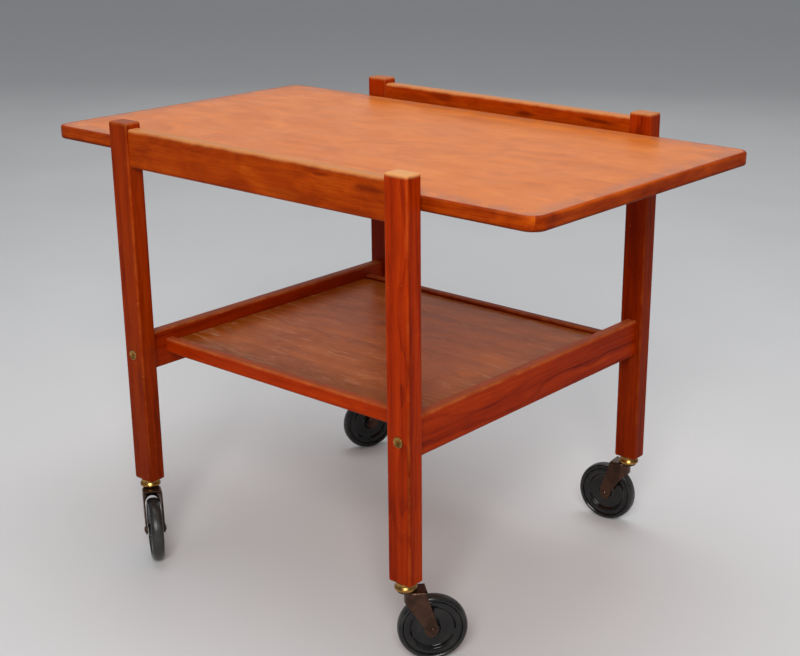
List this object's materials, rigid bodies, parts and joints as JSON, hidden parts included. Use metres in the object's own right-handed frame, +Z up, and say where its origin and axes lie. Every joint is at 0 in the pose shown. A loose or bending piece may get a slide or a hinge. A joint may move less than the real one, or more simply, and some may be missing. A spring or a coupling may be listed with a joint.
{
  "type": "serving trolley",
  "caption": "Low wooden serving trolley on swivel casters, with a long table top between two side rails and a lower shelf.",
  "frame": {"origin": "on the floor under the middle of the frame, half way between the four legs", "axes": "+X along the table top, +Y across it from the near side rail to the far one, +Z up"},
  "size_m": [0.752, 0.5128, 0.56],
  "materials": {
    "teak_frame": "oiled, satin",
    "teak_top": "lacquered, semi-gloss",
    "teak_lipping": "lacquered, semi-gloss",
    "teak_shelf": "lacquered, worn",
    "beech_dowel": "raw",
    "brass": "polished, a little tarnished",
    "bronzed_steel": "bronze lacquer, semi-gloss",
    "steel": "zinc plated",
    "ball_steel": "polished",
    "black_plastic": "moulded, glossy",
    "black_rubber": "smooth, a little dusty",
    "nylon": "natural"
  },
  "bodies": {
    "frame": {"leg_left_near": "teak_frame", "leg_right_near": "teak_frame", "leg_right_far": "teak_frame", "leg_left_far": "teak_frame", "side_rail_near": "teak_frame", "side_rail_far": "teak_frame", "cross_rail_left": "teak_frame", "cross_rail_right": "teak_frame", "shelf_lip_near": "teak_frame", "shelf_lip_far": "teak_frame", "lower_shelf_panel": "teak_shelf", "table_top": "teak_top", "table_top_lipping": "teak_lipping", "bearer_near": "teak_frame", "bearer_far": "teak_frame", "frame_dowels": "beech_dowel", "shelf_lip_dowels": "beech_dowel", "cross_rail_bolts": "brass", "barrel_nuts": "steel", "top_screws": "steel", "bearer_screws": "steel", "caster_socket_left_near": "steel", "bearing_cup_left_near": "brass", "caster_socket_right_near": "steel", "bearing_cup_right_near": "brass", "caster_socket_right_far": "steel", "bearing_cup_right_far": "brass", "caster_socket_left_far": "steel", "bearing_cup_left_far": "brass"},
    "swivel_left_near": {"caster_stem_left_near": "steel", "bearing_balls_left_near": "ball_steel", "caster_fork_left_near": "bronzed_steel", "caster_axle_left_near": "bronzed_steel"},
    "wheel_left_near": {"wheel_disc_left_near": "black_plastic", "wheel_tyre_left_near": "black_rubber", "wheel_bush_left_near": "nylon"},
    "swivel_right_near": {"caster_stem_right_near": "steel", "bearing_balls_right_near": "ball_steel", "caster_fork_right_near": "bronzed_steel", "caster_axle_right_near": "bronzed_steel"},
    "wheel_right_near": {"wheel_disc_right_near": "black_plastic", "wheel_tyre_right_near": "black_rubber", "wheel_bush_right_near": "nylon"},
    "swivel_right_far": {"caster_stem_right_far": "steel", "bearing_balls_right_far": "ball_steel", "caster_fork_right_far": "bronzed_steel", "caster_axle_right_far": "bronzed_steel"},
    "wheel_right_far": {"wheel_disc_right_far": "black_plastic", "wheel_tyre_right_far": "black_rubber", "wheel_bush_right_far": "nylon"},
    "swivel_left_far": {"caster_stem_left_far": "steel", "bearing_balls_left_far": "ball_steel", "caster_fork_left_far": "bronzed_steel", "caster_axle_left_far": "bronzed_steel"},
    "wheel_left_far": {"wheel_disc_left_far": "black_plastic", "wheel_tyre_left_far": "black_rubber", "wheel_bush_left_far": "nylon"}
  },
  "joints": [
    {"name": "swivel_left_near", "type": "hinge", "parent": "frame", "child": "swivel_left_near", "pos_m": [-0.2185, -0.228, 0.09], "axis": [0, 0, 1], "continuous": true},
    {"name": "wheel_spin_left_near", "type": "hinge", "parent": "swivel_left_near", "child": "wheel_left_near", "pos_m": [-0.19394, -0.24469, 0.04], "axis": [0.5621, 0.8271, 0], "continuous": true},
    {"name": "swivel_right_near", "type": "hinge", "parent": "frame", "child": "swivel_right_near", "pos_m": [0.2185, -0.228, 0.09], "axis": [0, 0, 1], "continuous": true},
    {"name": "wheel_spin_right_near", "type": "hinge", "parent": "swivel_right_near", "child": "wheel_right_near", "pos_m": [0.23909, -0.2066, 0.04], "axis": [-0.7206, 0.6934, 0], "continuous": true},
    {"name": "swivel_right_far", "type": "hinge", "parent": "frame", "child": "swivel_right_far", "pos_m": [0.2185, 0.228, 0.09], "axis": [0, 0, 1], "continuous": true},
    {"name": "wheel_spin_right_far", "type": "hinge", "parent": "swivel_right_far", "child": "wheel_right_far", "pos_m": [0.18901, 0.22448, 0.04], "axis": [0.1184, -0.993, 0], "continuous": true},
    {"name": "swivel_left_far", "type": "hinge", "parent": "frame", "child": "swivel_left_far", "pos_m": [-0.2185, 0.228, 0.09], "axis": [0, 0, 1], "continuous": true},
    {"name": "wheel_spin_left_far", "type": "hinge", "parent": "swivel_left_far", "child": "wheel_left_far", "pos_m": [-0.23049, 0.20083, 0.04], "axis": [0.915, -0.4035, 0], "continuous": true}
  ]
}
